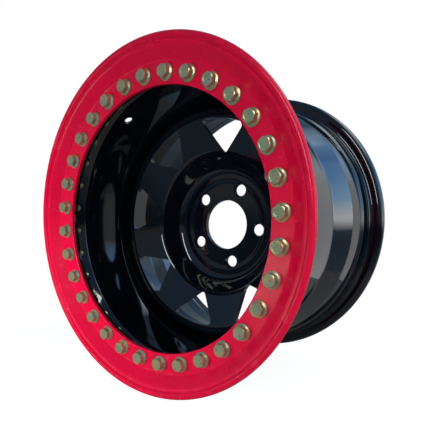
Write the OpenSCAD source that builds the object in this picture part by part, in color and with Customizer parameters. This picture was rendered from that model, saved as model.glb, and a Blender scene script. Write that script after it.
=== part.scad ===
// Deep-dish steel wheel with a bolted bead clamp ring, in millimetres.
// The axle is the Y axis: the street side faces -Y and the vehicle is toward +Y.
// The origin is the centre of the mounting face, where the wheel meets its hub.
// Inside the modules, z is the height above the mounting face toward the street.

/* [Rim barrel] */
// Radius of the rear bead seat where it meets its flange
bead_seat_radius = 190.1; // [188:0.1:193]
// Height of the rear flange above the bead seat
flange_height = 18.5; // [16:0.5:20]
// Width from the rear flange face to the outer face of the clamp ring
rim_width = 254; // [248:1:260]
// Height of the rim centreline above the mounting face
centre_height = 40; // [37:1:43]
// Thickness of the rolled barrel sheet
barrel_sheet = 3.5; // [3:0.1:4]
// Depth of the well below the bead seat
well_depth = 18.6; // [18:0.1:19.5]
// Depth of the front shoulder below the bead seat
shoulder_depth = 2.6; // [2:0.1:3.2]
// Depth of the ridge inside the mouth below the bead seat
ridge_depth = 12.6; // [12:0.1:13.4]
// Length of the straight shoulder behind the mounting ring
shoulder_length = 10; // [8:0.5:12]
// Length of the slope from the shoulder to the ridge
shoulder_slope_length = 13; // [12:0.5:15]
// Length of the shallow cone from the ridge to the well
mouth_cone_length = 60; // [56:1:64]
// Length of the straight well that holds the disc
well_length = 60; // [56:1:64]
// Length of the rise from the well to the rear ledge
well_rise_length = 45; // [42:1:48]
// Depth of the rear ledge below the bead seat at the top of that rise
ledge_depth = 7.4; // [7:0.1:8]
// Taper of the rear bead seat in degrees
seat_taper = 6.3; // [5:0.1:7]
// Length of the rear bead seat from the hump to the flange
seat_length = 20; // [18:0.5:22]
// Height of the safety hump above the end of the seat
hump_height = 0.8; // [0.5:0.1:1.2]
// Depth of the rear flange lip behind the flange face
lip_depth = 10; // [9:0.5:11]

/* [Valve hole] */
// Diameter of the valve hole
valve_hole_diameter = 11.4; // [10:0.1:13]
// Distance of the valve hole behind the ridge
valve_setback = 15.5; // [13:0.5:20]
// Angle of the valve hole round the axle in degrees
valve_angle = 121.9; // [0:0.1:360]

/* [Centre disc] */
// Thickness of the pressed disc sheet
disc_sheet = 6.5; // [6:0.1:7]
// Radius of the centre bore
bore_radius = 37.5; // [34:0.1:39]
// Radius of the flat hub pad
pad_radius = 64; // [63:0.5:68]
// Rise of the shallow dish round the hub pad
dish_rise = 1.5; // [1:0.1:2]
// Width of the shallow dish slope
dish_width = 5; // [4:0.5:6]
// Radius at which the steep wall would leave the dish
wall_foot_radius = 85.4; // [84:0.1:88]
// Steepness of that wall in degrees
wall_slope = 60; // [56:1:64]
// Radius at the top corner of the wall
wall_top_radius = 103.5; // [102:0.1:105]
// Steepness of the windowed face in degrees
face_slope = 23.5; // [22:0.5:25]
// Bend radius at the foot of the wall
wall_foot_bend = 16; // [14:0.5:18]
// Bend radius at the top of the wall
wall_top_bend = 14; // [12:0.5:16]
// Bend radius from the face to the welded flange
crest_bend = 15; // [13:0.5:17]
// Leg of the weld fillet at the disc flange
disc_weld_leg = 5; // [4:0.5:6]
// Play between the disc flange and the barrel
flange_play = 0.05; // [0:0.01:0.1]

/* [Windows] */
// Number of triangular windows
window_count = 8; // [6:1:8]
// Distance from the top of the wall to the window apex nearest the hub
window_apex_margin = 1; // [0.5:0.1:6]
// Distance from the outer edge of a window to the disc flange
window_rim_margin = 20; // [19:0.1:24]
// Angle from the middle of a window to its corner centre in degrees
window_half_angle = 11.4; // [10:0.1:12]
// Corner radius at the apex
window_apex_corner = 7; // [5:0.5:8]
// Corner radius at the outer edge
window_outer_corner = 5; // [4:0.5:7]
// Turn of the first window from the X axis in degrees
window_phase = -10.7; // [-20:0.1:20]

/* [Lug holes] */
// Number of lug holes
lug_count = 5; // [4:1:6]
// Diameter of the circle through the lug holes
lug_circle_diameter = 114.3; // [112:0.1:116]
// Turn of the first lug hole from the X axis in degrees
lug_phase = -8.1; // [-36:0.1:36]
// Diameter at the throat of a lug hole
lug_throat_diameter = 17; // [14:0.1:18]
// Depth of the cone seat for the nut
lug_seat_depth = 3; // [2:0.1:3.4]
// Half angle of the cone seat in degrees
lug_seat_angle = 40; // [30:1:42]
// Chamfer of the lug hole on the mounting face
lug_back_chamfer = 1.5; // [1:0.1:2]

/* [Mounting ring] */
// Thickness of the mounting ring plate
mounting_plate = 5.5; // [5:0.1:6]
// Width of the mounting ring from its opening to the bead seat
mounting_ring_width = 26.1; // [25:0.1:26.6]
// Leg of the weld fillets at the mounting ring
ring_weld_leg = 2.4; // [2:0.1:2.5]

/* [Clamp ring] */
// Thickness of the clamp ring sheet
clamp_sheet = 5; // [4.5:0.1:5.5]
// Reach of the clamp ring inside the bead seat
clamp_ring_reach = 27.6; // [26.8:0.1:29]
// Distance of the foot of the flare inside the bead seat
flare_foot_inset = 1.6; // [0.4:0.1:3]
// Width of the sloping flare
flare_run = 14; // [12:0.1:16]
// Rise of the flare above the flat
flare_rise = 12.1; // [11:0.1:13]
// Radius of the rolled lip section
lip_roll_radius = 4.5; // [4.2:0.1:5]
// Distance from the top of the flare to the middle of the rolled lip
lip_run = 8.1; // [7.5:0.1:10]
// Edge chamfer of both rings at their openings
ring_chamfer = 0.6; // [0.3:0.1:1]

/* [Clamp bolts] */
// Number of clamp bolts
bolt_count = 32; // [24:1:32]
// Distance of the bolt circle inside the bead seat
bolt_circle_inset = 15.1; // [14.4:0.1:15.8]
// Turn of the first clamp bolt from the X axis in degrees
bolt_phase = 3.15; // [0:0.05:11.25]
// Diameter of the bolt thread
bolt_diameter = 10; // [8:0.5:10]
// Length of the bolt under its head
bolt_length = 20; // [16:0.5:22]
// Width across the flats of the hex head
hex_width = 14; // [13:0.1:15]
// Diameter of the bolt flange
bolt_flange_diameter = 19.4; // [18:0.1:20.4]
// Thickness of the bolt flange at its rim
bolt_flange_rim = 1.6; // [1:0.1:2]
// Full height of the bolt head
bolt_head_height = 9; // [8:0.1:10]
// Play round a bolt in the clamp ring
clamp_hole_play = 0.3; // [0.1:0.05:0.4]
// Play round a bolt in its tapped hole
tapped_hole_play = 0.05; // [0:0.01:0.1]

/* [Output] */
// Node to draw

/* [Hidden] */
$fn = 96;
reach = 400;

// Bend circles are oversize by this much, so that they cross the straights cleanly
bend_overlap = 0.002;

// Heights of the main faces above the mounting face
front_face = centre_height + rim_width / 2;
rear_face = centre_height - rim_width / 2;
clamp_back = front_face - clamp_sheet;
mounting_back = clamp_back - mounting_plate;
shoulder_back = mounting_back - shoulder_length;
ridge_height = shoulder_back - shoulder_slope_length;
well_front = ridge_height - mouth_cone_length;
well_back = well_front - well_length;
ledge_front = well_back - well_rise_length;
seat_front = rear_face + seat_length;

// Radii of the barrel's outer skin
shoulder_radius = bead_seat_radius - shoulder_depth;
ridge_radius = bead_seat_radius - ridge_depth;
well_radius = bead_seat_radius - well_depth;
ledge_radius = bead_seat_radius - ledge_depth;
seat_front_radius = bead_seat_radius - seat_length * tan(seat_taper);
hump_radius = seat_front_radius + hump_height;
flange_radius = bead_seat_radius + flange_height;

// The disc's outer skin, from the bore to the end of its welded flange
disc_radius = well_radius - barrel_sheet - flange_play;
dish_radius = pad_radius + dish_width;
dish_height = disc_sheet + dish_rise;
wall_top_height = dish_height + (wall_top_radius - wall_foot_radius) * tan(wall_slope);
crest_height = wall_top_height + (disc_radius - wall_top_radius) * tan(face_slope);
disc_flange_end = well_back + 6;

// The rolled edges and fillets that follow from the sheets
hump_run = 3.5;
hump_bend = barrel_sheet + 1;
lip_bend = barrel_sheet + 5;
valve_height = ridge_height - valve_setback;
valve_cone = atan((ridge_radius - well_radius) / mouth_cone_length);
valve_skin_radius = ridge_radius - valve_setback * tan(valve_cone);
land_height = front_face + flare_rise;
hex_foot = bolt_flange_rim + 1.6;
hex_corner_radius = hex_width / 2 / cos(30);

// Radii of the windows, the rings and the bolt circle
window_apex_radius = wall_top_radius + window_apex_margin;
window_outer_radius = disc_radius - window_rim_margin;
mounting_inner_radius = bead_seat_radius - mounting_ring_width;
clamp_inner_radius = bead_seat_radius - clamp_ring_reach;
flare_foot_radius = bead_seat_radius - flare_foot_inset;
flare_top_radius = flare_foot_radius + flare_run;
lip_centre_radius = flare_top_radius + lip_run;
bolt_circle_radius = bead_seat_radius - bolt_circle_inset;

// Direction of travel from one point of a path to the next
function heading(path, i) =
  let (step = path[i + 1] - path[i])
  step / norm(step);

// Angle by which a path turns at one of its points, positive to the left
function turn_angle(path, i) =
  let (before = heading(path, i - 1), after = heading(path, i))
  atan2(cross(before, after), before * after);

// Length that a bend takes off the straight on each side of its corner
function bend_reach(path, bends, i) =
  i == 0 || i == len(path) - 1 ? 0 : bends[i] * tan(abs(turn_angle(path, i)) / 2);

// Unit vector across the tangent that touches two circles on one side
function tangent_normal(from, to, from_radius, to_radius, side) =
  let (step = to - from, across = side * acos((from_radius - to_radius) / norm(step)))
  let (angle = atan2(step[1], step[0]) + across)
  [cos(angle), sin(angle)];

// Turns a section of radius and height into a body of revolution on the axle
module turned() {
  rotate([90, 0, 0])
    rotate_extrude()
      children();
}

// Places something drawn on the z axis at a radius and angle round the axle
module around(radius, angle) {
  rotate([90, 0, 0])
    rotate([0, 0, angle])
      translate([radius, 0, 0])
        children();
}

// Points of a path where its bends start and end, moved across to the right
function bend_points(path, bends, across) = [
  for (i = [0 : len(path) - 1])
    for (way = i == 0 ? [0] : i == len(path) - 1 ? [-1] : [-1, 0])
      let (along = heading(path, i + way), gap = bend_reach(path, bends, i))
      path[i] + (way < 0 ? -gap : gap) * along + across * [along[1], -along[0]]
];

// Centre of the circle that a bend follows
function bend_centre(path, bends, i) =
  let (before = heading(path, i - 1), side = sign(turn_angle(path, i)))
  path[i] - bend_reach(path, bends, i) * before + side * bends[i] * [-before[1], before[0]];

// Angle past its ends at which an oversize bend circle has crossed the straights
function crossing_angle(radius) = 1.2 * acos(1 - bend_overlap / radius);

// Sector of a circle that reaches a little past the start and the end of a bend
module bend_sector(path, bends, i, radius) {
  turn = turn_angle(path, i);
  from_start = heading(path, i - 1) * sign(turn);
  middle = atan2(-from_start[0], from_start[1]) + turn / 2;
  half = abs(turn) / 2 + crossing_angle(radius);
  translate(bend_centre(path, bends, i))
    intersection() {
      circle(r = radius + bend_overlap);
      polygon([
        [0, 0],
        2 * radius * [cos(middle - half), sin(middle - half)],
        2 * radius * [cos(middle), sin(middle)],
        2 * radius * [cos(middle + half), sin(middle + half)],
      ]);
    }
}

// Section of an evenly thick sheet, bent along a skin path that it lies to the right of
module bent_sheet(path, bends, sheet) {
  skin = bend_points(path, bends, 0);
  back = bend_points(path, bends, sheet);
  last = len(back) - 1;
  corners = [1 : len(path) - 2];
  difference() {
    union() {
      polygon(concat(back, [for (i = [0 : last]) skin[last - i]]));
      for (i = corners) {
        bend_sector(path, bends, i, bends[i] + (turn_angle(path, i) > 0 ? sheet : 0));
      }
    }
    for (i = corners) {
      translate(bend_centre(path, bends, i))
        circle(r = bends[i] - (turn_angle(path, i) > 0 ? 0 : sheet) + 2 * bend_overlap);
    }
  }
}

// Rolled barrel with a drop well, a humped rear bead seat and a curled rear flange
module rim_barrel() {
  skin = [
    [shoulder_radius, mounting_back],
    [shoulder_radius, shoulder_back],
    [ridge_radius, ridge_height],
    [well_radius, well_front],
    [well_radius, well_back],
    [ledge_radius, ledge_front],
    [seat_front_radius - hump_height * 2, seat_front + hump_run * 2],
    [hump_radius, seat_front + hump_run],
    [seat_front_radius, seat_front],
    [bead_seat_radius, rear_face],
    [flange_radius, rear_face + 0.8],
    [flange_radius, rear_face - lip_depth],
  ];
  bends = [0, 8, 8, 60, 20, 12, 3, hump_bend, 4, 6.5, lip_bend, 0];
  color("#101418")
    difference() {
      turned()
        bent_sheet(skin, bends, barrel_sheet);
      around(valve_skin_radius, valve_angle)
        translate([0, 0, valve_height])
          rotate([0, 90 + valve_cone, 0])
            cylinder(h = 30, d = valve_hole_diameter, center = true);
    }
}

// Outline of one window: a triangle on the hub side, closed by an arc round the axle
module window_outline() {
  apex = [window_apex_radius + window_apex_corner, 0];
  corner_circle = window_outer_radius - window_outer_corner;
  corner = corner_circle * [cos(window_half_angle), sin(window_half_angle)];
  mirrored = [corner[0], -corner[1]];
  upper = tangent_normal(apex, corner, window_apex_corner, window_outer_corner, 1);
  lower = [upper[0], -upper[1]];
  translate(apex)
    circle(r = window_apex_corner + bend_overlap);
  for (centre = [corner, mirrored]) {
    translate(centre)
      circle(r = window_outer_corner + bend_overlap);
  }
  polygon([
    apex + window_apex_corner * lower,
    mirrored + window_outer_corner * lower,
    mirrored,
    corner,
    corner + window_outer_corner * upper,
    apex + window_apex_corner * upper,
  ]);
  intersection() {
    circle(r = window_outer_radius);
    polygon([mirrored, mirrored * 1.2, corner * 1.2, corner]);
  }
}

// Cone seat, throat and back chamfer of one lug hole
module lug_hole() {
  throat = lug_throat_diameter / 2;
  rotate_extrude()
    polygon([
      [0, -1],
      [throat + lug_back_chamfer + 1, -1],
      [throat, lug_back_chamfer],
      [throat, disc_sheet - lug_seat_depth],
      [throat + (lug_seat_depth + 1) * tan(lug_seat_angle), disc_sheet + 1],
      [0, disc_sheet + 1],
    ]);
}

// Pressed disc: hub pad, steep wall, windowed cone and a flange that fits the well
module centre_disc() {
  skin = [
    [bore_radius, disc_sheet],
    [pad_radius, disc_sheet],
    [dish_radius, dish_height],
    [wall_foot_radius, dish_height],
    [wall_top_radius, wall_top_height],
    [disc_radius, crest_height],
    [disc_radius, disc_flange_end],
  ];
  bends = [0, 10, 10, wall_foot_bend, wall_top_bend, crest_bend, 0];
  color("#14181c")
    difference() {
      turned()
        bent_sheet(skin, bends, disc_sheet);
      for (i = [0 : window_count - 1]) {
        around(0, window_phase + i * 360 / window_count)
          linear_extrude(height = crest_height)
            window_outline();
      }
      for (i = [0 : lug_count - 1]) {
        around(lug_circle_diameter / 2, lug_phase + i * 360 / lug_count)
          lug_hole();
      }
    }
}

// Section of a flat-faced weld fillet below a corner, on its outer or inner side
module weld_fillet(corner, leg, outward) {
  translate(corner)
    polygon(outward ? [[0, 0], [0, -leg], [leg, 0]] : [[0, 0], [-leg, 0], [0, -leg]]);
}

// Weld run that joins the end of the disc flange to the barrel
module disc_weld() {
  color("#181c20")
    turned()
      weld_fillet([well_radius - barrel_sheet, disc_flange_end], disc_weld_leg, false);
}

// Flat ring with a chamfered opening and a row of bolt holes
module drilled_ring(inner_radius, outer_radius, height, sheet, hole_radius) {
  difference() {
    turned()
      polygon([
        [inner_radius + ring_chamfer, height],
        [outer_radius, height],
        [outer_radius, height - sheet],
        [inner_radius + ring_chamfer, height - sheet],
        [inner_radius, height - sheet + ring_chamfer],
        [inner_radius, height - ring_chamfer],
      ]);
    bolt_holes(hole_radius);
  }
}

// Round holes for every clamp bolt
module bolt_holes(hole_radius) {
  for (i = [0 : bolt_count - 1]) {
    around(bolt_circle_radius, bolt_phase + i * 360 / bolt_count)
      translate([0, 0, mounting_back - 1])
        cylinder(h = front_face - mounting_back + 2, r = hole_radius);
  }
}

// Tapped steel ring welded to the mouth of the barrel
module mounting_ring() {
  color("#101418")
    drilled_ring(mounting_inner_radius, bead_seat_radius, clamp_back, mounting_plate,
      bolt_diameter / 2 + tapped_hole_play);
}

// Weld run between the mounting ring and the outside of the barrel
module outer_ring_weld() {
  color("#181c20")
    turned()
      weld_fillet([shoulder_radius, mounting_back], ring_weld_leg, true);
}

// Weld run between the mounting ring and the inside of the barrel
module inner_ring_weld() {
  color("#181c20")
    turned()
      weld_fillet([shoulder_radius - barrel_sheet, mounting_back], ring_weld_leg, false);
}

// Outer clamp ring: a flat for the bolts, a flare and a rolled lip
module clamp_ring() {
  skin = [
    [clamp_inner_radius, front_face],
    [flare_foot_radius, front_face],
    [flare_top_radius, land_height],
    [lip_centre_radius, land_height + 0.6],
  ];
  bends = [0, 6, clamp_sheet + 4, 0];
  color("#c80a37")
    difference() {
      turned()
        difference() {
          union() {
            bent_sheet(skin, bends, clamp_sheet);
            translate([lip_centre_radius, land_height - 1.3])
              circle(r = lip_roll_radius);
          }
          for (corner = [front_face, clamp_back]) {
            translate([clamp_inner_radius, corner])
              rotate([0, 0, 45])
                square(ring_chamfer * sqrt(2), center = true);
          }
        }
      bolt_holes(bolt_diameter / 2 + clamp_hole_play);
    }
}

// One flanged hex bolt, seated at zero with its thread pointing down
module clamp_bolt() {
  rotate_extrude()
    polygon([
      [0, -bolt_length],
      [bolt_diameter / 2 - 1, -bolt_length],
      [bolt_diameter / 2, 1 - bolt_length],
      [bolt_diameter / 2, 0],
      [bolt_flange_diameter / 2, 0],
      [bolt_flange_diameter / 2, bolt_flange_rim],
      [hex_width / 2, hex_foot],
      [0, hex_foot],
    ]);
  intersection() {
    cylinder(h = bolt_head_height, r = hex_corner_radius, $fn = 6);
    translate([0, 0, bolt_flange_rim / 2])
      cylinder(h = bolt_head_height - bolt_flange_rim / 2,
        r1 = hex_width / 2 + (bolt_head_height - bolt_flange_rim / 2) / tan(30) - 0.4,
        r2 = hex_width / 2 - 0.4);
  }
}

// The full set of bolts that hold the clamp ring
module clamp_bolts() {
  color("#9a9468")
    for (i = [0 : bolt_count - 1]) {
      around(bolt_circle_radius, bolt_phase + i * 360 / bolt_count)
        translate([0, 0, front_face])
          rotate([0, 0, i * 23])
            clamp_bolt();
    }
}

rim_barrel();
centre_disc();
disc_weld();
mounting_ring();
outer_ring_weld();
inner_ring_weld();
clamp_ring();
clamp_bolts();
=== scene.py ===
"""Looks for the deep-dish steel wheel: paint, zinc plating, welds, threads, lights and camera.

All places are in the part's own frame: the wheel spins about Y, its street side faces -Y, and +Z
is up. The wheel's sizes and the camera's place are in millimetres, and the studio's in metres. In
the section profiles a point is (radius, height), where the height is measured from the mounting
face toward the street, so Y is minus the height.
"""

import math

import bmesh
import bpy
from mathutils import Matrix, Vector


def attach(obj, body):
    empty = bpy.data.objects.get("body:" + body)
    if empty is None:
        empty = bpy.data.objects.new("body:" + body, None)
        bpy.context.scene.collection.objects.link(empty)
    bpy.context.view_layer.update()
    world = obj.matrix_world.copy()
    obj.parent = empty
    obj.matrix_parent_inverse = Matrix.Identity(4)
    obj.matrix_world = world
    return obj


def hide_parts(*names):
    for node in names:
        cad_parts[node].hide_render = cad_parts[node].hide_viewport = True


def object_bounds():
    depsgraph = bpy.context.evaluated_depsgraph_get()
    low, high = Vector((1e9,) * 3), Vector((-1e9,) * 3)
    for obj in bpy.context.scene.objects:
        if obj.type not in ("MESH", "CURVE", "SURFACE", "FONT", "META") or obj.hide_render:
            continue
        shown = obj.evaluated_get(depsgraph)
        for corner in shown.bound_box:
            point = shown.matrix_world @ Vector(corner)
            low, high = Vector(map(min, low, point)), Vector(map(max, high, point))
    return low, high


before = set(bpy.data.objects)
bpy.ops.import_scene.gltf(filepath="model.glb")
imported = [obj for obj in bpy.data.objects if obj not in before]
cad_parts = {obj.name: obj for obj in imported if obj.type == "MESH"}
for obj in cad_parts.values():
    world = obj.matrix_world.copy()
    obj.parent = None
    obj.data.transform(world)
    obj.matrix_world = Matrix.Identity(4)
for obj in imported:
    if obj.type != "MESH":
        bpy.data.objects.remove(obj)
cad_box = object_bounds()

MM = 0.001

# Sizes of the bolts and welds, in millimetres

BOLT_COUNT = 32
BOLT_CIRCLE = 175.0
BOLT_PHASE = 3.15
BOLT_LENGTH = 20.0
BOLT_SPIN = 23.0
CLAMP_FACE = 167.0
HEX_WIDTH = 14.0
HEX_CORNER_CUT = 0.25
HEAD_HEIGHT = 9.0
HEAD_TOP_INSET = 0.5
HEAD_EDGE = 0.18
CHAMFER_START = 0.4
CHAMFER_ANGLE = 30
DISH_RADIUS = 4.6
DISH_RIM = 5.1
DISH_DEPTH = 0.25
FLANGE_RADIUS = 9.7
FLANGE_RIM = 1.6
FLANGE_RISE = 1.6
FLANGE_EDGE = 0.3
FLANGE_UNDERCUT = 0.25
FILLET_HEIGHT = 0.5
FILLET_REACH = 0.35
SHANK_GAP = 0.6
THREAD_RADIUS = 5.0
THREAD_PITCH = 1.5
THREAD_EXPOSED = 11.0
THREAD_DEPTH = 0.8
THREAD_ROWS_PER_TURN = 6
TIP_LENGTH = 1.2
TIP_TAPER = 0.7
HEAD_STEPS = 72
THREAD_STEPS = 24
WELD_CORNER = {
    "disc_weld": (168.0, 19.5),
    "outer_ring_weld": (187.5, 156.5),
    "inner_ring_weld": (184.0, 156.5),
}
# Piece, node, start and end of the bead's face, number of ripples
WELDS = [
    ("disc_bead", "disc_weld", (163.0, 19.5), (168.0, 14.5), 240),
    ("outer_ring_bead", "outer_ring_weld", (187.5, 154.1), (189.9, 156.5), 330),
    ("inner_ring_bead", "inner_ring_weld", (181.6, 156.5), (184.0, 154.1), 320),
]
STEPS_PER_RIPPLE = 6
WELD_POINTS = 9
WELD_SWELL = 0.12
RIPPLE_SWELL = 0.07
RIPPLE_LEAD = 0.35
WELD_SINK = 0.05

# Sections of the sheets in millimetres: skin path, bend radii and thickness, as in the source

BARREL_SKIN = [
    (187.5, 156.5), (187.5, 146.5), (177.5, 133.5), (171.5, 73.5),
    (171.5, 13.5), (182.7, -31.5), (186.29, -60.0), (188.69, -63.5),
    (187.89, -67.0), (190.1, -87.0), (208.6, -86.2), (208.6, -97.0),
]
BARREL_BENDS = [0, 8, 8, 60, 20, 12, 3, 4.5, 4, 6.5, 8.5, 0]
BARREL_SHEET = 3.5
DISC_SKIN = [
    (37.5, 6.5), (64.0, 6.5), (69.0, 8.0), (85.4, 8.0),
    (103.5, 39.35), (167.95, 67.37), (167.95, 19.5),
]
DISC_BENDS = [0, 10, 10, 16, 14, 15, 0]
DISC_SHEET = 6.5
CLAMP_SKIN = [(163.1, 167.0), (188.5, 167.0), (202.5, 179.1), (206.6, 179.4)]
CLAMP_BENDS = [0, 6, 9, 0]
CLAMP_SHEET = 5.0
LIP_CENTRE = (210.6, 177.8)
LIP_RADIUS = 4.5
LIP_START = 155.0
LIP_SWEEP = 290.0
LIP_STEPS = 60
CLAMP_BORE = [(163.1, 162.0), (162.5, 162.6), (162.5, 166.4)]
# Radius, height and angle of the valve hole's middle, and the lean of its axis
VALVE = (176.95, 118.0, 121.9)
VALVE_TILT = 5.71
VALVE_DIAMETER = 11.4
VALVE_CUT = 12.0
VALVE_STEPS = 40
WINDOW_COUNT = 8
WINDOW_PHASE = -10.7
# Apex: least radius and corner radius. Rim: largest radius, corner radius and half angle
WINDOW_APEX = (104.5, 7.0)
WINDOW_RIM = (147.95, 5.0, 11.4)
WINDOW_CUT = (5.0, 80.0)
# Steps of the arcs along the rim, at its corners and at the apex
WINDOW_STEPS = (12, 8, 14)
LUG_COUNT = 5
LUG_PHASE = -8.1
LUG_CIRCLE = 57.15
LUG_PROFILE = [(0.0, -1.0), (11.0, -1.0), (8.5, 1.5), (8.5, 3.5), (11.36, 7.5), (0.0, 7.5)]
LUG_STEPS = 48
TURN_STEPS = 288
LONGEST_STRAIGHT = 6.0
ARC_STEP = 5.0
SMALLEST_ARC = 0.3
MERGE_DISTANCE = 0.000002

# Paint, plating, floor and panels

BLACK_DARK = (0.0010, 0.0022, 0.0050)
BLACK_LIGHT = (0.0016, 0.0032, 0.0066)
BLACK_ROUGHNESS = 0.06
BLACK_COAT = 0.5
BLACK_GLOSS = 0.5
RED_DARK = (0.58, 0.0012, 0.034)
RED_LIGHT = (0.64, 0.0018, 0.040)
RED_ROUGHNESS = 0.24
RED_PEEL = 0.05
RED_COAT = 0.0
RED_GLOSS = 0.3
BLACK_PEEL = 0.07
PEEL_SCALE = 260.0
PEEL_DEPTH = 0.0001
PAINT_TONE_SCALE = 14.0
PAINT_ROUGH_SCALE = 60.0
COAT_ROUGHNESS = 0.03
ZINC_METALLIC = 0.7
ZINC_TONE_SCALE = 110.0
ZINC_ROUGH_SCALE = 300.0
ZINC_TONES = [(0.30, (0.31, 0.42, 0.28)), (0.52, (0.43, 0.46, 0.28)), (0.72, (0.62, 0.46, 0.17))]
ZINC_ROUGHNESS = [(0.3, 0.26), (0.7, 0.4)]
FLOOR_TONES = [(0.3, (0.42, 0.43, 0.44)), (0.7, (0.45, 0.46, 0.47))]
FLOOR_TONE_SCALE = 3.0
FLOOR_ROUGHNESS = 0.8
PANEL_TONES = [(0.2, (0.86, 0.90, 0.95)), (0.8, (0.94, 0.97, 1.0))]
PANEL_TONE_SCALE = 4.0

# Studio sizes and light, in metres

AMBIENT = 0.16
AMBIENT_COLOUR = (0.96, 0.98, 1.0)
WHITE = (1.0, 1.0, 1.0)
FLOOR_RADIUS = 0.45
FLOOR_CENTRE = -0.04
FLOOR_STEPS = 96
FLOOR_GAP = 0.0002
FLOOR_GLOW = 0.87
CLOUDS = 0.12
CLOUD_SCALE = 3.0
# What gloss mirrors from straight down (0) to straight up (1): in front, and behind on the right
FRONT_SKY = [
    (0.00, (0.10, 0.14, 0.18)),
    (0.36, (0.10, 0.14, 0.18)),
    (0.44, (0.03, 0.04, 0.05)),
    (0.50, (0.03, 0.04, 0.05)),
    (0.53, (0.20, 0.20, 0.21)),
    (0.60, (0.18, 0.21, 0.24)),
    (0.72, (0.12, 0.20, 0.30)),
    (1.00, (0.10, 0.18, 0.30)),
]
BACK_SKY = [
    (0.00, (0.12, 0.18, 0.22)),
    (0.22, (0.12, 0.18, 0.22)),
    (0.30, (0.03, 0.05, 0.07)),
    (0.47, (0.05, 0.08, 0.11)),
    (0.53, (1.00, 1.00, 1.00)),
    (0.62, (0.40, 0.66, 0.95)),
    (0.73, (0.18, 0.40, 0.78)),
    (0.78, (0.10, 0.24, 0.48)),
    (0.83, (0.18, 0.32, 0.52)),
    (0.88, (0.80, 0.90, 1.00)),
    (1.00, (0.90, 0.95, 1.00)),
]
BACK_STRENGTH = 2.6
# Direction of the bright sky, and where along it the front sky gives way to the back one
BRIGHT_SIDE = (0.45, 0.25, 0.30)
FRONT_TO_BACK = (0.88, 0.98)
# Name, place, target, width, height, power, beam in degrees,
# whether it lights paint, and whether gloss mirrors it
LAMPS = [
    ("key", (-0.35, -0.8, -0.13), (-0.15, -0.17, -0.1), 0.4, 0.1, 0.98, 70, True, False),
    ("low", (0.7, -0.8, -0.1), (0.1, -0.17, 0.0), 0.4, 0.2, 2.6, 180, True, False),
    ("top", (0.2, -0.9, 0.8), (0.0, 0.0, 0.0), 0.4, 0.4, 1.1, 180, True, False),
    ("front", (0.42, -0.96, 0.55), (-0.1, 0.0, 0.0), 0.16, 0.8, 4.0, 180, False, True),
    ("right", (1.3, -0.1, 0.3), (0.0, 0.0, 0.0), 0.7, 1.2, 9.0, 180, True, False),
]
# Name, left edge, right edge, distance behind the wheel, bottom, top,
# and the brightness that gloss mirrors there
PANELS = [
    ("panel", 0.15, 0.62, 0.6, -0.56, 0.52, 0.66),
    ("card", 0.86, 1.50, 0.62, -0.70, 0.60, 0.36),
]
PANEL_FADE = 0.12

# Camera, solved from the wheel's bolts, lug holes and round edges, its place in millimetres

SENSOR_WIDTH = 36.0
FOCAL_LENGTH = 34.32
SHIFT = (0.0076, 0.1302)
NEAREST_SEEN = 0.01
CAMERA_PLACE = (356.6, -536.2, -6.6)
CAMERA_RIGHT = (0.80999, 0.58644, 0.0)
CAMERA_FORWARD = (-0.58338, 0.80577, -0.10193)


# Camera

def add_camera():
    """Puts the camera where the photograph was taken from."""
    data = bpy.data.cameras.new("camera")
    data.sensor_width = SENSOR_WIDTH
    data.lens = FOCAL_LENGTH
    data.shift_x, data.shift_y = SHIFT
    data.clip_start = NEAREST_SEEN
    right = Vector(CAMERA_RIGHT)
    forward = Vector(CAMERA_FORWARD)
    up = right.cross(forward)
    camera = bpy.data.objects.new("camera", data)
    camera.matrix_world = Matrix((
        (right.x, up.x, -forward.x, CAMERA_PLACE[0] * MM),
        (right.y, up.y, -forward.y, CAMERA_PLACE[1] * MM),
        (right.z, up.z, -forward.z, CAMERA_PLACE[2] * MM),
        (0.0, 0.0, 0.0, 1.0),
    ))
    bpy.context.scene.collection.objects.link(camera)
    bpy.context.scene.camera = camera


# Materials

def new_material(name):
    """New material with its nodes, its links and its shader."""
    material = bpy.data.materials.new(name)
    material.use_nodes = True
    nodes = material.node_tree.nodes
    return material, nodes, material.node_tree.links, nodes["Principled BSDF"]


def object_noise(nodes, links, scale, detail=3.0, roughness=0.5):
    """Noise in the object's own coordinates."""
    coords = nodes.new("ShaderNodeTexCoord")
    noise = nodes.new("ShaderNodeTexNoise")
    noise.inputs["Scale"].default_value = scale
    noise.inputs["Detail"].default_value = detail
    noise.inputs["Roughness"].default_value = roughness
    links.new(coords.outputs["Object"], noise.inputs["Vector"])
    return noise.outputs["Fac"]


def ramp(nodes, links, source, stops):
    """Colour ramp fed by a factor, with stops of (position, colour)."""
    node = nodes.new("ShaderNodeValToRGB")
    elements = node.color_ramp.elements
    for element, (position, colour) in ((elements[1], stops[-1]), (elements[0], stops[0])):
        element.position = position
        element.color = (*colour, 1.0)
    for position, colour in stops[1:-1]:
        elements.new(position).color = (*colour, 1.0)
    links.new(source, node.inputs["Fac"])
    return node.outputs["Color"]


def grey_ramp(nodes, links, source, stops):
    """Colour ramp of greys, with stops of (position, value)."""
    return ramp(nodes, links, source, [(position, (value,) * 3) for position, value in stops])


def math_node(nodes, links, operation, *values):
    """Math node whose inputs are numbers or sockets."""
    node = nodes.new("ShaderNodeMath")
    node.operation = operation
    for socket, value in zip(node.inputs, values):
        if isinstance(value, (int, float)):
            socket.default_value = value
        else:
            links.new(value, socket)
    return node.outputs["Value"]


def orange_peel(nodes, links, shader, strength):
    """Faint waviness of a sprayed coat."""
    bump = nodes.new("ShaderNodeBump")
    bump.inputs["Strength"].default_value = strength
    bump.inputs["Distance"].default_value = PEEL_DEPTH
    links.new(object_noise(nodes, links, PEEL_SCALE, 2.0), bump.inputs["Height"])
    links.new(bump.outputs["Normal"], shader.inputs["Normal"])


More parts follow.
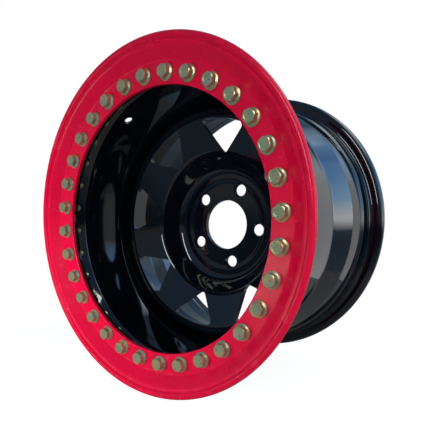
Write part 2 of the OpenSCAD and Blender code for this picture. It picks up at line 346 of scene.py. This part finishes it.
def gloss_paint(name, dark, light, roughness, peel, coat, gloss):
    """Gloss paint with an orange peel and faint changes of tone."""
    material, nodes, links, shader = new_material(name)
    tone = ramp(nodes, links, object_noise(nodes, links, PAINT_TONE_SCALE),
                [(0.3, dark), (0.7, light)])
    links.new(tone, shader.inputs["Base Color"])
    rough = grey_ramp(nodes, links, object_noise(nodes, links, PAINT_ROUGH_SCALE),
                      [(0.3, roughness * 0.8), (0.7, roughness * 1.25)])
    links.new(rough, shader.inputs["Roughness"])
    shader.inputs["Specular IOR Level"].default_value = gloss
    shader.inputs["Coat Weight"].default_value = coat
    shader.inputs["Coat Roughness"].default_value = COAT_ROUGHNESS
    orange_peel(nodes, links, shader, peel)
    return material


def zinc_plating():
    """Yellow-passivated zinc: a greenish grey metal with warm clouds."""
    material, nodes, links, shader = new_material("zinc_yellow")
    tone = ramp(nodes, links, object_noise(nodes, links, ZINC_TONE_SCALE), ZINC_TONES)
    links.new(tone, shader.inputs["Base Color"])
    shader.inputs["Metallic"].default_value = ZINC_METALLIC
    rough = grey_ramp(nodes, links, object_noise(nodes, links, ZINC_ROUGH_SCALE), ZINC_ROUGHNESS)
    links.new(rough, shader.inputs["Roughness"])
    return material


def floor_material():
    """Pale floor that keeps the wheel's shadow and glows to white where the camera sees it."""
    material, nodes, links, shader = new_material("floor_white")
    tone = ramp(nodes, links, object_noise(nodes, links, FLOOR_TONE_SCALE), FLOOR_TONES)
    links.new(tone, shader.inputs["Base Color"])
    shader.inputs["Roughness"].default_value = FLOOR_ROUGHNESS
    glow = nodes.new("ShaderNodeEmission")
    glow.inputs["Color"].default_value = (*WHITE, 1.0)
    glow.inputs["Strength"].default_value = FLOOR_GLOW
    add = nodes.new("ShaderNodeAddShader")
    mix = nodes.new("ShaderNodeMixShader")
    path = nodes.new("ShaderNodeLightPath")
    links.new(shader.outputs["BSDF"], add.inputs[0])
    links.new(glow.outputs["Emission"], add.inputs[1])
    links.new(path.outputs["Is Camera Ray"], mix.inputs["Fac"])
    links.new(shader.outputs["BSDF"], mix.inputs[1])
    links.new(add.outputs["Shader"], mix.inputs[2])
    links.new(mix.outputs["Shader"], nodes["Material Output"].inputs["Surface"])
    return material


# Meshes

def finish_piece(name, bm, material, sharp_angle, node):
    """Turns a mesh under construction into a piece that stands for a CAD node."""
    bmesh.ops.remove_doubles(bm, verts=bm.verts, dist=MERGE_DISTANCE)
    bmesh.ops.recalc_face_normals(bm, faces=bm.faces)
    for face in bm.faces:
        face.smooth = True
    for edge in bm.edges:
        if len(edge.link_faces) == 2 and edge.calc_face_angle(0.0) > math.radians(sharp_angle):
            edge.smooth = False
    mesh = bpy.data.meshes.new(name)
    bm.to_mesh(mesh)
    bm.free()
    mesh.materials.append(material)
    piece = bpy.data.objects.new(name, mesh)
    bpy.context.scene.collection.objects.link(piece)
    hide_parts(node)
    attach(piece, "root")


def add_grid(bm, rows, closed_rows=False):
    """Quads between rows of points that each close on themselves."""
    verts = [[bm.verts.new(point) for point in row] for row in rows]
    pairs = list(zip(verts, verts[1:]))
    if closed_rows:
        pairs.append((verts[-1], verts[0]))
    for first, second in pairs:
        count = len(first)
        for i in range(count):
            j = (i + 1) % count
            bm.faces.new((first[i], first[j], second[j], second[i]))
    return verts


def wheel_point(radius, height, angle):
    """Point of the wheel from its radius, its height toward the street and its angle from +X."""
    return Vector((radius * math.cos(angle), -height, radius * math.sin(angle))) * MM


def bolt_rows():
    """Rings of points of one bolt's head and flange, from the top down to the shank, about +Z."""
    flats = HEX_WIDTH / 2
    rows = []
    angles = [2 * math.pi * i / HEAD_STEPS for i in range(HEAD_STEPS)]

    def hex_radius(angle):
        folded = (angle + math.pi / 6) % (math.pi / 3) - math.pi / 6
        return min(flats / math.cos(folded), flats / math.cos(math.pi / 6) - HEX_CORNER_CUT)

    def ring(radius, height):
        rows.append([(radius * math.cos(a), radius * math.sin(a), height) for a in angles])

    def hex_ring(inset, height):
        radii = [hex_radius(a) - inset for a in angles]
        rows.append([(r * math.cos(a), r * math.sin(a), height(a)) for r, a in zip(radii, angles)])

    def chamfer(angle, inset=0.0):
        past = max(0.0, hex_radius(angle) - inset - (flats - CHAMFER_START))
        return HEAD_HEIGHT - past * math.tan(math.radians(CHAMFER_ANGLE))

    def skirt(radius):
        return FLANGE_RIM + (FLANGE_RADIUS - radius) * FLANGE_RISE / (FLANGE_RADIUS - flats)

    ring(DISH_RADIUS, HEAD_HEIGHT - DISH_DEPTH)
    ring(DISH_RIM, HEAD_HEIGHT)
    ring(flats - HEAD_TOP_INSET, HEAD_HEIGHT)
    hex_ring(HEAD_EDGE, lambda a: chamfer(a, HEAD_EDGE))
    hex_ring(0.0, lambda a: chamfer(a) - HEAD_EDGE)
    hex_ring(0.0, lambda a: skirt(hex_radius(a)) + FILLET_HEIGHT)
    hex_ring(-FILLET_REACH, lambda a: skirt(hex_radius(a) + FILLET_REACH))
    ring(FLANGE_RADIUS - FLANGE_EDGE, skirt(FLANGE_RADIUS - FLANGE_EDGE))
    ring(FLANGE_RADIUS, FLANGE_RIM - FLANGE_EDGE)
    ring(FLANGE_RADIUS, FLANGE_EDGE)
    ring(FLANGE_RADIUS - FLANGE_UNDERCUT, 0.0)
    ring(THREAD_RADIUS + SHANK_GAP, 0.0)
    return rows


def thread_rows():
    """Rings of points of one bolt's shank and thread, from the flange down to the tip."""
    angles = [2 * math.pi * i / THREAD_STEPS for i in range(THREAD_STEPS)]
    rows = [[(THREAD_RADIUS * math.cos(a), THREAD_RADIUS * math.sin(a), 0.0) for a in angles]]
    count = int(THREAD_EXPOSED / THREAD_PITCH * THREAD_ROWS_PER_TURN)
    for row in range(count + 1):
        height = -BOLT_LENGTH + THREAD_EXPOSED * (1.0 - row / count)
        fade = min(1.0, (height + BOLT_LENGTH) / TIP_LENGTH)
        points = []
        for angle in angles:
            turn = (height / THREAD_PITCH - angle / (2 * math.pi)) % 1.0
            groove = 1.0 - abs(2.0 * turn - 1.0)
            radius = THREAD_RADIUS - THREAD_DEPTH * groove - TIP_TAPER * (1.0 - fade)
            points.append((radius * math.cos(angle), radius * math.sin(angle), height))
        rows.append(points)
    return rows


def add_bolts(material):
    """All the flanged bolts, with chamfered heads and cut threads, each one closed skin."""
    bm = bmesh.new()
    share = HEAD_STEPS // THREAD_STEPS
    for i in range(BOLT_COUNT):
        turn = math.radians(BOLT_PHASE + i * 360.0 / BOLT_COUNT)
        outward = Vector((math.cos(turn), 0.0, math.sin(turn)))
        up = Vector((0.0, -1.0, 0.0))
        side = up.cross(outward)
        seat = wheel_point(BOLT_CIRCLE, CLAMP_FACE, turn)
        spin = math.radians(i * BOLT_SPIN)
        ends = []
        for rows in (bolt_rows(), thread_rows()):
            placed = []
            for row in rows:
                points = []
                for x, y, z in row:
                    across = x * math.cos(spin) - y * math.sin(spin)
                    along = x * math.sin(spin) + y * math.cos(spin)
                    points.append(seat + (outward * across + side * along + up * z) * MM)
                placed.append(points)
            verts = add_grid(bm, placed)
            ends.append((verts[0], verts[-1]))
        (top, underside), (shank, tip) = ends
        bm.faces.new(top)
        bm.faces.new(tip)
        for k in range(THREAD_STEPS):
            outer = [underside[(share * k + j) % HEAD_STEPS] for j in range(share + 1)]
            bm.faces.new(outer + [shank[(k + 1) % THREAD_STEPS], shank[k]])
    finish_piece("flanged_bolts", bm, material, 24.0, "clamp_bolts")


def add_weld(name, node, start, end, ripple_count, material):
    """Weld bead with overlapping ripples between two points of the section."""
    start, end = Vector(start), Vector(end)
    chord = end - start
    normal = Vector((chord.y, -chord.x)).normalized()
    middle = (start + end) / 2
    if normal.dot(middle - Vector(WELD_CORNER[node])) < 0.0:
        normal = -normal
    rows = []
    total = ripple_count * STEPS_PER_RIPPLE
    for k in range(total):
        angle = 2 * math.pi * k / total
        points = []
        for j in range(WELD_POINTS):
            share = j / (WELD_POINTS - 1)
            lead = RIPPLE_LEAD * (2.0 * share - 1.0) ** 2
            phase = (k / STEPS_PER_RIPPLE + lead) % 1.0
            swell = (math.sin(math.pi * share) * chord.length
                     * (WELD_SWELL + RIPPLE_SWELL * (1.0 - phase) ** 2))
            place = start + chord * share + normal * (swell - WELD_SINK)
            points.append(wheel_point(place.x, place.y, angle))
        points.append(wheel_point(*WELD_CORNER[node], angle))
        rows.append(points)
    bm = bmesh.new()
    add_grid(bm, rows, closed_rows=True)
    finish_piece(name, bm, material, 50.0, node)


# Sheet metal

def heading(path, i):
    """Direction of a path from its point i to the next."""
    return (path[i + 1] - path[i]).normalized()


def bent_line(path, bends, across):
    """Path moved across to the right, with each of its corners turned into an arc."""
    first, last = heading(path, 0), heading(path, len(path) - 2)
    points = [path[0] + across * Vector((first.y, -first.x))]
    for i in range(1, len(path) - 1):
        before, after = heading(path, i - 1), heading(path, i)
        turn = math.atan2(before.x * after.y - before.y * after.x, before.dot(after))
        side = math.copysign(1.0, turn)
        right, next_right = Vector((before.y, -before.x)), Vector((after.y, -after.x))
        radius = bends[i] + side * across
        if radius < SMALLEST_ARC:
            points.append(path[i] + across * (right + next_right) / (1.0 + right.dot(next_right)))
            continue
        reach = bends[i] * math.tan(abs(turn) / 2)
        centre = path[i] - reach * before - side * bends[i] * right
        steps = max(3, round(abs(math.degrees(turn)) / ARC_STEP))
        for k in range(steps + 1):
            angle = turn * k / steps
            arm = side * radius * right
            points.append(centre + Vector((arm.x * math.cos(angle) - arm.y * math.sin(angle),
                                           arm.x * math.sin(angle) + arm.y * math.cos(angle))))
    points.append(path[-1] + across * Vector((last.y, -last.x)))
    return points


def divided(points, longest):
    """Closed outline with its long straights divided."""
    result = []
    for start, end in zip(points, points[1:] + points[:1]):
        count = max(1, math.ceil((end - start).length / longest))
        result += [start.lerp(end, k / count) for k in range(count)]
    return result


def sheet_section(path, bends, sheet):
    """Both skins of a sheet of even thickness."""
    path = [Vector(point) for point in path]
    return bent_line(path, bends, 0.0), bent_line(path, bends, sheet)


def turned_mesh(outline):
    """Body of revolution about the axle."""
    outline = divided(outline, LONGEST_STRAIGHT)
    bm = bmesh.new()
    rows = [[wheel_point(point.x, point.y, 2 * math.pi * k / TURN_STEPS) for point in outline]
            for k in range(TURN_STEPS)]
    add_grid(bm, rows, closed_rows=True)
    bmesh.ops.recalc_face_normals(bm, faces=bm.faces)
    return bm


def add_prism(bm, outline, low_end, high_end):
    """Closed prism along the axle, from an outline in radius and angle."""
    rows = [[wheel_point(radius, height, angle) for radius, angle in outline]
            for height in (low_end, high_end)]
    ends = add_grid(bm, rows)
    bm.faces.new(ends[0])
    bm.faces.new(ends[1])


def window_outline():
    """Corner circles of one window joined by straights, as (radius, angle) from its middle."""
    radius, corner = WINDOW_APEX
    outer, outer_corner, half = WINDOW_RIM
    apex = Vector((radius + corner, 0.0))
    half = math.radians(half)
    circle = outer - outer_corner
    upper = Vector((circle * math.cos(half), circle * math.sin(half)))
    points = []

    def arc(centre, size, start, end, steps):
        for k in range(steps + 1):
            angle = start + (end - start) * k / steps
            points.append(centre + size * Vector((math.cos(angle), math.sin(angle))))

    rim_steps, corner_steps, apex_steps = WINDOW_STEPS
    step = upper - apex
    lean = math.atan2(step.y, step.x) + math.acos((corner - outer_corner) / step.length)
    lower = Vector((upper.x, -upper.y))
    arc(Vector((0.0, 0.0)), outer, -half, half, rim_steps)
    arc(upper, outer_corner, half, lean, corner_steps)
    arc(apex, corner, lean, 2 * math.pi - lean, apex_steps)
    arc(lower, outer_corner, -lean, -half, corner_steps)
    clean = [points[0]]
    for point in points[1:]:
        if (point - clean[-1]).length > 0.01 and (point - clean[0]).length > 0.01:
            clean.append(point)
    return [(point.length, math.atan2(point.y, point.x)) for point in clean]


def disc_cutters():
    """Windows and lug holes of the disc as one mesh."""
    bm = bmesh.new()
    outline = window_outline()
    for i in range(WINDOW_COUNT):
        middle = math.radians(WINDOW_PHASE + i * 360.0 / WINDOW_COUNT)
        add_prism(bm, [(radius, angle + middle) for radius, angle in outline], *WINDOW_CUT)
    for i in range(LUG_COUNT):
        turn = math.radians(LUG_PHASE + i * 360.0 / LUG_COUNT)
        centre = Vector((math.cos(turn), math.sin(turn))) * LUG_CIRCLE
        rows = []
        for k in range(LUG_STEPS):
            angle = 2 * math.pi * k / LUG_STEPS
            row = []
            for radius, height in LUG_PROFILE:
                x = centre.x + radius * math.cos(angle)
                z = centre.y + radius * math.sin(angle)
                row.append(Vector((x, -height, z)) * MM)
            rows.append(row)
        add_grid(bm, rows, closed_rows=True)
    return bm


def valve_cutter():
    """Cylinder square to the mouth cone."""
    radius, height, angle = VALVE
    angle, tilt = math.radians(angle), math.radians(VALVE_TILT)
    outward = Vector((math.cos(angle) * math.cos(tilt), math.sin(tilt),
                      math.sin(angle) * math.cos(tilt)))
    side = outward.cross(Vector((0.0, 1.0, 0.0))).normalized()
    up = outward.cross(side)
    middle = wheel_point(radius, height, angle)
    bm = bmesh.new()
    rows = []
    for reach in (-VALVE_CUT, VALVE_CUT):
        row = []
        for k in range(VALVE_STEPS):
            turn = 2 * math.pi * k / VALVE_STEPS
            arm = (side * math.cos(turn) + up * math.sin(turn)) * VALVE_DIAMETER / 2
            row.append(middle + (outward * reach + arm) * MM)
        rows.append(row)
    ends = add_grid(bm, rows)
    bm.faces.new(ends[0])
    bm.faces.new(ends[1])
    return bm


def cut(bm, cutter):
    """Body with a cutter taken out of it."""
    objects = []
    for part in (bm, cutter):
        bmesh.ops.remove_doubles(part, verts=part.verts, dist=MERGE_DISTANCE)
        bmesh.ops.recalc_face_normals(part, faces=part.faces)
        mesh = bpy.data.meshes.new("cut")
        part.to_mesh(mesh)
        part.free()
        objects.append(bpy.data.objects.new("cut", mesh))
        bpy.context.scene.collection.objects.link(objects[-1])
    body, tool = objects
    modifier = body.modifiers.new("cut", "BOOLEAN")
    modifier.operation = "DIFFERENCE"
    modifier.solver = "EXACT"
    modifier.object = tool
    result = bmesh.new()
    result.from_object(body, bpy.context.evaluated_depsgraph_get())
    for item in objects:
        mesh = item.data
        bpy.data.objects.remove(item)
        bpy.data.meshes.remove(mesh)
    return result


def add_barrel(material):
    """Rolled barrel with its valve hole."""
    skin, back = sheet_section(BARREL_SKIN, BARREL_BENDS, BARREL_SHEET)
    bm = cut(turned_mesh(skin + back[::-1]), valve_cutter())
    finish_piece("barrel_shell", bm, material, 40.0, "rim_barrel")


def add_disc(material):
    """Pressed disc with its windows and lug holes."""
    skin, back = sheet_section(DISC_SKIN, DISC_BENDS, DISC_SHEET)
    bm = cut(turned_mesh(skin + back[::-1]), disc_cutters())
    finish_piece("disc_shell", bm, material, 32.0, "centre_disc")


def add_clamp_ring(material):
    """Flat, flare and land of the clamp ring, closed by its rolled lip."""
    skin, back = sheet_section(CLAMP_SKIN, CLAMP_BENDS, CLAMP_SHEET)
    centre = Vector(LIP_CENTRE)
    lip = []
    for k in range(LIP_STEPS + 1):
        angle = math.radians(LIP_START - k * LIP_SWEEP / LIP_STEPS)
        lip.append(centre + LIP_RADIUS * Vector((math.cos(angle), math.sin(angle))))
    inner = [Vector(point) for point in CLAMP_BORE]
    bm = turned_mesh(skin + lip + back[::-1][:-1] + inner)
    finish_piece("clamp_ring_shell", bm, material, 32.0, "clamp_ring")


# Studio

def add_floor(level):
    """Round pale floor under the wheel."""
    bm = bmesh.new()
    rim = []
    for i in range(FLOOR_STEPS):
        angle = 2 * math.pi * i / FLOOR_STEPS
        x, y = FLOOR_RADIUS * math.cos(angle), FLOOR_RADIUS * math.sin(angle) + FLOOR_CENTRE
        rim.append(bm.verts.new((x, y, level)))
    bm.faces.new(rim)
    mesh = bpy.data.meshes.new("floor")
    bm.to_mesh(mesh)
    bm.free()
    mesh.materials.append(floor_material())
    floor = bpy.data.objects.new("floor", mesh)
    bpy.context.scene.collection.objects.link(floor)


def add_panel(name, left, right, back, bottom, top, glow):
    """Pale upright panel with soft edges that only reflections see."""
    mesh = bpy.data.meshes.new(name)
    corners = [(left, back, bottom), (right, back, bottom), (right, back, top), (left, back, top)]
    mesh.from_pydata(corners, [], [(0, 1, 2, 3)])
    material, nodes, links, shader = new_material(name + "_pale")
    tone = ramp(nodes, links, object_noise(nodes, links, PANEL_TONE_SCALE), PANEL_TONES)
    links.new(tone, shader.inputs["Emission Color"])
    shader.inputs["Base Color"].default_value = (0.0, 0.0, 0.0, 1.0)
    shader.inputs["Specular IOR Level"].default_value = 0.0
    shader.inputs["Emission Strength"].default_value = glow
    coords = nodes.new("ShaderNodeTexCoord")
    split = nodes.new("ShaderNodeSeparateXYZ")
    links.new(coords.outputs["Generated"], split.inputs["Vector"])
    across = grey_ramp(nodes, links, split.outputs["X"],
                       [(0.0, 0.0), (PANEL_FADE, 1.0), (1.0 - PANEL_FADE, 1.0), (1.0, 0.0)])
    upward = grey_ramp(nodes, links, split.outputs["Z"],
                       [(0.0, 0.0), (2 * PANEL_FADE, 1.0), (1.0 - 2 * PANEL_FADE, 1.0), (1.0, 0.0)])
    links.new(math_node(nodes, links, "MULTIPLY", across, upward), shader.inputs["Alpha"])
    mesh.materials.append(material)
    panel = bpy.data.objects.new(name, mesh)
    bpy.context.scene.collection.objects.link(panel)
    panel.visible_camera = False
    panel.visible_diffuse = False
    panel.visible_shadow = False


def add_area(name, place, target, width, height, power, beam, lights, mirrored):
    """Rectangular soft box that faces a target."""
    data = bpy.data.lights.new(name, "AREA")
    data.shape = "RECTANGLE"
    data.size = width
    data.size_y = height
    data.energy = power
    data.spread = math.radians(beam)
    lamp = bpy.data.objects.new(name, data)
    direction = Vector(target) - Vector(place)
    lamp.location = place
    lamp.visible_diffuse = lights
    lamp.visible_glossy = mirrored
    lamp.visible_camera = False
    lamp.rotation_euler = direction.to_track_quat("-Z", "Y").to_euler()
    bpy.context.scene.collection.objects.link(lamp)


def background(nodes, colour, strength):
    """Background shader of one colour."""
    node = nodes.new("ShaderNodeBackground")
    node.inputs["Color"].default_value = (*colour, 1.0)
    node.inputs["Strength"].default_value = strength
    return node


def add_world():
    """White to the camera. Reflections see a sky over a dark ground, bright behind on the right."""
    world = bpy.data.worlds.new("studio")
    bpy.context.scene.world = world
    world.use_nodes = True
    nodes, links = world.node_tree.nodes, world.node_tree.links
    ambient = nodes["Background"]
    ambient.inputs["Color"].default_value = (*AMBIENT_COLOUR, 1.0)
    ambient.inputs["Strength"].default_value = AMBIENT
    white = background(nodes, WHITE, 1.0)
    mirrored = nodes.new("ShaderNodeBackground")
    coords = nodes.new("ShaderNodeTexCoord")
    split = nodes.new("ShaderNodeSeparateXYZ")
    links.new(coords.outputs["Generated"], split.inputs["Vector"])
    clouds = nodes.new("ShaderNodeTexNoise")
    clouds.inputs["Scale"].default_value = CLOUD_SCALE
    links.new(coords.outputs["Generated"], clouds.inputs["Vector"])
    raised = math_node(nodes, links, "MULTIPLY_ADD",
                       clouds.outputs["Fac"], CLOUDS, 0.5 - CLOUDS / 2)
    height = math_node(nodes, links, "MULTIPLY_ADD", split.outputs["Z"], 0.5, raised)
    depth = 0.5
    for axis, weight in zip("XYZ", BRIGHT_SIDE):
        depth = math_node(nodes, links, "MULTIPLY_ADD", split.outputs[axis], weight, depth)
    links.new(ramp(nodes, links, height, FRONT_SKY), mirrored.inputs["Color"])
    behind = background(nodes, WHITE, BACK_STRENGTH)
    links.new(ramp(nodes, links, height, BACK_SKY), behind.inputs["Color"])
    sky = nodes.new("ShaderNodeMixShader")
    nearest, farthest = FRONT_TO_BACK
    links.new(grey_ramp(nodes, links, depth, [(nearest, 0.0), (farthest, 1.0)]), sky.inputs["Fac"])
    links.new(mirrored.outputs["Background"], sky.inputs[1])
    links.new(behind.outputs["Background"], sky.inputs[2])
    path = nodes.new("ShaderNodeLightPath")
    seen = math_node(nodes, links, "MAXIMUM",
                     path.outputs["Is Camera Ray"], path.outputs["Is Transmission Ray"])
    first = nodes.new("ShaderNodeMixShader")
    links.new(path.outputs["Is Glossy Ray"], first.inputs["Fac"])
    links.new(ambient.outputs["Background"], first.inputs[1])
    links.new(sky.outputs["Shader"], first.inputs[2])
    second = nodes.new("ShaderNodeMixShader")
    links.new(seen, second.inputs["Fac"])
    links.new(first.outputs["Shader"], second.inputs[1])
    links.new(white.outputs["Background"], second.inputs[2])
    links.new(second.outputs["Shader"], nodes["World Output"].inputs["Surface"])


add_camera()
add_world()
add_floor(cad_box[0][2] - FLOOR_GAP)
for panel in PANELS:
    add_panel(*panel)
for lamp in LAMPS:
    add_area(*lamp)

black = gloss_paint("black_gloss", BLACK_DARK, BLACK_LIGHT, BLACK_ROUGHNESS,
                    BLACK_PEEL, BLACK_COAT, BLACK_GLOSS)
red = gloss_paint("red_gloss", RED_DARK, RED_LIGHT, RED_ROUGHNESS, RED_PEEL, RED_COAT, RED_GLOSS)
zinc = zinc_plating()
paints = {"clamp_ring": red, "clamp_bolts": zinc}
for name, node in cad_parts.items():
    node.data.materials.clear()
    node.data.materials.append(paints.get(name, black))

add_barrel(black)
add_disc(black)
add_clamp_ring(red)
add_bolts(zinc)
for weld in WELDS:
    add_weld(*weld, black)

bpy.context.scene.view_settings.view_transform = "Standard"
